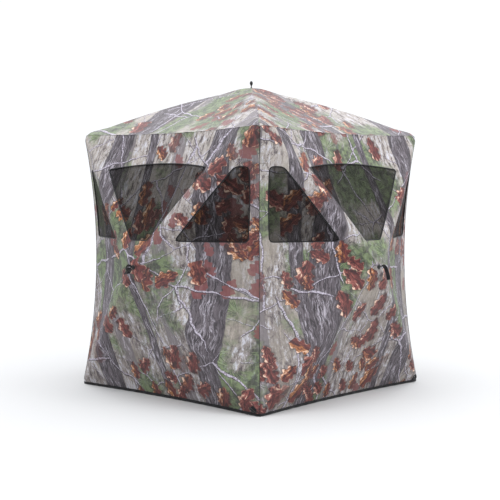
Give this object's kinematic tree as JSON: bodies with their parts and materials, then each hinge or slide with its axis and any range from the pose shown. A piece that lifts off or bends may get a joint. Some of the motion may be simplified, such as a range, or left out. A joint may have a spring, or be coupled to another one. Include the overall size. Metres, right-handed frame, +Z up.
{
  "type": "pop up ground blind",
  "caption": "Free-standing square fabric hunting hide whose walls and roof each pop out on a hub with four sprung poles; mesh windows, zip door, open base.",
  "frame": {"origin": "on the ground, in the middle of the footprint", "axes": "+Z up; -Y is the front wall, -X the left wall, +Y the back wall with the door"},
  "size_m": [2.166, 2.166, 2.0015],
  "materials": {
    "camo_fabric": "woven polyester with a printed woodland pattern",
    "window_mesh": "fine see-through mesh with the same print, darker",
    "black_webbing": "woven black webbing",
    "black_plastic": "moulded black nylon",
    "fibreglass": "smooth pultruded rod",
    "zip_metal": "black enamelled zip slider"
  },
  "bodies": {
    "cabin": {"front_wall_skin": "camo_fabric", "front_window_net": "window_mesh", "front_left_stake_tab": "black_webbing", "upper_front_left_corner_boot": "black_plastic", "lower_front_left_corner_boot": "black_plastic", "right_wall_skin": "camo_fabric", "right_window_net": "window_mesh", "front_right_stake_tab": "black_webbing", "upper_front_right_corner_boot": "black_plastic", "lower_front_right_corner_boot": "black_plastic", "back_wall_skin": "camo_fabric", "back_window_net": "window_mesh", "back_right_stake_tab": "black_webbing", "upper_back_right_corner_boot": "black_plastic", "lower_back_right_corner_boot": "black_plastic", "left_wall_skin": "camo_fabric", "left_window_net": "window_mesh", "back_left_stake_tab": "black_webbing", "upper_back_left_corner_boot": "black_plastic", "lower_back_left_corner_boot": "black_plastic", "roof_skin": "camo_fabric", "hem_binding": "black_webbing"},
    "front_hub": {"front_hub": "black_plastic"},
    "front_pole_upper_right": {"front_pole_upper_right": "fibreglass"},
    "front_pole_upper_left": {"front_pole_upper_left": "fibreglass"},
    "front_pole_lower_left": {"front_pole_lower_left": "fibreglass"},
    "front_pole_lower_right": {"front_pole_lower_right": "fibreglass"},
    "front_pull_strap": {"front_pull_strap": "black_webbing"},
    "right_hub": {"right_hub": "black_plastic"},
    "right_pole_upper_right": {"right_pole_upper_right": "fibreglass"},
    "right_pole_upper_left": {"right_pole_upper_left": "fibreglass"},
    "right_pole_lower_left": {"right_pole_lower_left": "fibreglass"},
    "right_pole_lower_right": {"right_pole_lower_right": "fibreglass"},
    "right_pull_strap": {"right_pull_strap": "black_webbing"},
    "back_hub": {"back_hub": "black_plastic"},
    "back_pole_upper_right": {"back_pole_upper_right": "fibreglass"},
    "back_pole_upper_left": {"back_pole_upper_left": "fibreglass"},
    "back_pole_lower_left": {"back_pole_lower_left": "fibreglass"},
    "back_pole_lower_right": {"back_pole_lower_right": "fibreglass"},
    "back_pull_strap": {"back_pull_strap": "black_webbing"},
    "left_hub": {"left_hub": "black_plastic"},
    "left_pole_upper_right": {"left_pole_upper_right": "fibreglass"},
    "left_pole_upper_left": {"left_pole_upper_left": "fibreglass"},
    "left_pole_lower_left": {"left_pole_lower_left": "fibreglass"},
    "left_pole_lower_right": {"left_pole_lower_right": "fibreglass"},
    "left_pull_strap": {"left_pull_strap": "black_webbing"},
    "roof_hub": {"roof_hub": "black_plastic", "roof_pull": "black_plastic"},
    "roof_pole_back_right": {"roof_pole_back_right": "fibreglass"},
    "roof_pole_back_left": {"roof_pole_back_left": "fibreglass"},
    "roof_pole_front_left": {"roof_pole_front_left": "fibreglass"},
    "roof_pole_front_right": {"roof_pole_front_right": "fibreglass"},
    "door_facet": {"door_zip_tape": "black_webbing"},
    "door": {"door_panel": "camo_fabric"},
    "door_slider": {"door_zip_slider": "zip_metal"}
  },
  "joints": [
    {"name": "front_hub_pop", "type": "slide", "parent": "cabin", "child": "front_hub", "axis": [0, 1, 0], "range_m": [0, 0.512], "deforming": ["front_wall_skin", "front_window_net"]},
    {"name": "front_pole_upper_right_swing", "type": "hinge", "parent": "front_hub", "child": "front_pole_upper_right", "pos_m": [0.02057, -1.00075, 0.84433], "axis": [0.7278, 0, -0.6858], "range_deg": [0, 25.58]},
    {"name": "front_pole_upper_left_swing", "type": "hinge", "parent": "front_hub", "child": "front_pole_upper_left", "pos_m": [-0.02057, -1.00075, 0.84433], "axis": [0.7278, 0, 0.6858], "range_deg": [0, 25.58]},
    {"name": "front_pole_lower_left_swing", "type": "hinge", "parent": "front_hub", "child": "front_pole_lower_left", "pos_m": [-0.02101, -1.00111, 0.80108], "axis": [-0.714, 0, 0.7002], "range_deg": [0, 25.65]},
    {"name": "front_pole_lower_right_swing", "type": "hinge", "parent": "front_hub", "child": "front_pole_lower_right", "pos_m": [0.02101, -1.00111, 0.80108], "axis": [-0.714, 0, -0.7002], "range_deg": [0, 25.65]},
    {"name": "front_pull_swing", "type": "hinge", "parent": "front_hub", "child": "front_pull_strap", "pos_m": [0, -1.05, 0.8225], "axis": [-1, 0, 0], "range_deg": [-15, 90]},
    {"name": "right_hub_pop", "type": "slide", "parent": "cabin", "child": "right_hub", "axis": [-1, 0, 0], "range_m": [0, 0.512], "deforming": ["right_wall_skin", "right_window_net"]},
    {"name": "right_pole_upper_right_swing", "type": "hinge", "parent": "right_hub", "child": "right_pole_upper_right", "pos_m": [1.00075, 0.02057, 0.84433], "axis": [0, 0.7278, -0.6858], "range_deg": [0, 25.58]},
    {"name": "right_pole_upper_left_swing", "type": "hinge", "parent": "right_hub", "child": "right_pole_upper_left", "pos_m": [1.00075, -0.02057, 0.84433], "axis": [0, 0.7278, 0.6858], "range_deg": [0, 25.58]},
    {"name": "right_pole_lower_left_swing", "type": "hinge", "parent": "right_hub", "child": "right_pole_lower_left", "pos_m": [1.00111, -0.02101, 0.80108], "axis": [0, -0.714, 0.7002], "range_deg": [0, 25.65]},
    {"name": "right_pole_lower_right_swing", "type": "hinge", "parent": "right_hub", "child": "right_pole_lower_right", "pos_m": [1.00111, 0.02101, 0.80108], "axis": [0, -0.714, -0.7002], "range_deg": [0, 25.65]},
    {"name": "right_pull_swing", "type": "hinge", "parent": "right_hub", "child": "right_pull_strap", "pos_m": [1.05, 0, 0.8225], "axis": [0, -1, 0], "range_deg": [-15, 90]},
    {"name": "back_hub_pop", "type": "slide", "parent": "cabin", "child": "back_hub", "axis": [0, -1, 0], "range_m": [0, 0.512], "deforming": ["back_wall_skin", "back_window_net"]},
    {"name": "back_pole_upper_right_swing", "type": "hinge", "parent": "back_hub", "child": "back_pole_upper_right", "pos_m": [-0.02057, 1.00075, 0.84433], "axis": [-0.7278, 0, -0.6858], "range_deg": [0, 25.58]},
    {"name": "back_pole_upper_left_swing", "type": "hinge", "parent": "back_hub", "child": "back_pole_upper_left", "pos_m": [0.02057, 1.00075, 0.84433], "axis": [-0.7278, 0, 0.6858], "range_deg": [0, 25.58]},
    {"name": "back_pole_lower_left_swing", "type": "hinge", "parent": "back_hub", "child": "back_pole_lower_left", "pos_m": [0.02101, 1.00111, 0.80108], "axis": [0.714, 0, 0.7002], "range_deg": [0, 25.65]},
    {"name": "back_pole_lower_right_swing", "type": "hinge", "parent": "back_hub", "child": "back_pole_lower_right", "pos_m": [-0.02101, 1.00111, 0.80108], "axis": [0.714, 0, -0.7002], "range_deg": [0, 25.65]},
    {"name": "back_pull_swing", "type": "hinge", "parent": "back_hub", "child": "back_pull_strap", "pos_m": [0, 1.05, 0.8225], "axis": [1, 0, 0], "range_deg": [-15, 90]},
    {"name": "left_hub_pop", "type": "slide", "parent": "cabin", "child": "left_hub", "axis": [1, 0, 0], "range_m": [0, 0.512], "deforming": ["left_wall_skin", "left_window_net"]},
    {"name": "left_pole_upper_right_swing", "type": "hinge", "parent": "left_hub", "child": "left_pole_upper_right", "pos_m": [-1.00075, -0.02057, 0.84433], "axis": [0, -0.7278, -0.6858], "range_deg": [0, 25.58]},
    {"name": "left_pole_upper_left_swing", "type": "hinge", "parent": "left_hub", "child": "left_pole_upper_left", "pos_m": [-1.00075, 0.02057, 0.84433], "axis": [0, -0.7278, 0.6858], "range_deg": [0, 25.58]},
    {"name": "left_pole_lower_left_swing", "type": "hinge", "parent": "left_hub", "child": "left_pole_lower_left", "pos_m": [-1.00111, 0.02101, 0.80108], "axis": [0, 0.714, 0.7002], "range_deg": [0, 25.65]},
    {"name": "left_pole_lower_right_swing", "type": "hinge", "parent": "left_hub", "child": "left_pole_lower_right", "pos_m": [-1.00111, -0.02101, 0.80108], "axis": [0, 0.714, -0.7002], "range_deg": [0, 25.65]},
    {"name": "left_pull_swing", "type": "hinge", "parent": "left_hub", "child": "left_pull_strap", "pos_m": [-1.05, 0, 0.8225], "axis": [0, 1, 0], "range_deg": [-15, 90]},
    {"name": "roof_hub_pop", "type": "slide", "parent": "cabin", "child": "roof_hub", "axis": [0, 0, -1], "range_m": [0, 0.616], "deforming": ["roof_skin"]},
    {"name": "roof_pole_back_right_swing", "type": "hinge", "parent": "roof_hub", "child": "roof_pole_back_right", "pos_m": [0.02121, 0.02121, 1.91441], "axis": [0.7071, -0.7071, 0], "range_deg": [0, 31.44]},
    {"name": "roof_pole_back_left_swing", "type": "hinge", "parent": "roof_hub", "child": "roof_pole_back_left", "pos_m": [-0.02121, 0.02121, 1.91441], "axis": [0.7071, 0.7071, 0], "range_deg": [0, 31.44]},
    {"name": "roof_pole_front_left_swing", "type": "hinge", "parent": "roof_hub", "child": "roof_pole_front_left", "pos_m": [-0.02121, -0.02121, 1.91441], "axis": [-0.7071, 0.7071, 0], "range_deg": [0, 31.44]},
    {"name": "roof_pole_front_right_swing", "type": "hinge", "parent": "roof_hub", "child": "roof_pole_front_right", "pos_m": [0.02121, -0.02121, 1.91441], "axis": [-0.7071, -0.7071, 0], "range_deg": [0, 31.44]},
    {"name": "door_facet_fold", "type": "hinge", "parent": "cabin", "child": "door_facet", "pos_m": [-0.742, 0.743, 0.8225], "axis": [0, 0, -1], "range_deg": [0, 38.03], "deforming": ["door_zip_tape", "door_panel"]},
    {"name": "door_open", "type": "hinge", "parent": "door_facet", "child": "door", "pos_m": [-0.672, 0.777, 0.8225], "axis": [0, 0, 1], "range_deg": [0, 120]},
    {"name": "door_slider_slide", "type": "slide", "parent": "door_facet", "child": "door_slider", "axis": [0, 0, 1], "range_m": [0, 0.19]}
  ],
  "couplings": [
    {"joint": "front_pole_upper_right_swing", "follows": "front_hub_pop", "rad_per_m": 0.87019},
    {"joint": "front_pole_upper_left_swing", "follows": "front_hub_pop", "rad_per_m": 0.87019},
    {"joint": "front_pole_lower_left_swing", "follows": "front_hub_pop", "rad_per_m": 0.87263},
    {"joint": "front_pole_lower_right_swing", "follows": "front_hub_pop", "rad_per_m": 0.87263},
    {"joint": "right_pole_upper_right_swing", "follows": "right_hub_pop", "rad_per_m": 0.87019},
    {"joint": "right_pole_upper_left_swing", "follows": "right_hub_pop", "rad_per_m": 0.87019},
    {"joint": "right_pole_lower_left_swing", "follows": "right_hub_pop", "rad_per_m": 0.87263},
    {"joint": "right_pole_lower_right_swing", "follows": "right_hub_pop", "rad_per_m": 0.87263},
    {"joint": "back_pole_upper_right_swing", "follows": "back_hub_pop", "rad_per_m": 0.87019},
    {"joint": "back_pole_upper_left_swing", "follows": "back_hub_pop", "rad_per_m": 0.87019},
    {"joint": "back_pole_lower_left_swing", "follows": "back_hub_pop", "rad_per_m": 0.87263},
    {"joint": "back_pole_lower_right_swing", "follows": "back_hub_pop", "rad_per_m": 0.87263},
    {"joint": "left_pole_upper_right_swing", "follows": "left_hub_pop", "rad_per_m": 0.87019},
    {"joint": "left_pole_upper_left_swing", "follows": "left_hub_pop", "rad_per_m": 0.87019},
    {"joint": "left_pole_lower_left_swing", "follows": "left_hub_pop", "rad_per_m": 0.87263},
    {"joint": "left_pole_lower_right_swing", "follows": "left_hub_pop", "rad_per_m": 0.87263},
    {"joint": "roof_pole_back_right_swing", "follows": "roof_hub_pop", "rad_per_m": 0.88946},
    {"joint": "roof_pole_back_left_swing", "follows": "roof_hub_pop", "rad_per_m": 0.88946},
    {"joint": "roof_pole_front_left_swing", "follows": "roof_hub_pop", "rad_per_m": 0.88946},
    {"joint": "roof_pole_front_right_swing", "follows": "roof_hub_pop", "rad_per_m": 0.88946},
    {"joint": "door_facet_fold", "follows": "back_hub_pop", "rad_per_m": 1.2948}
  ]
}
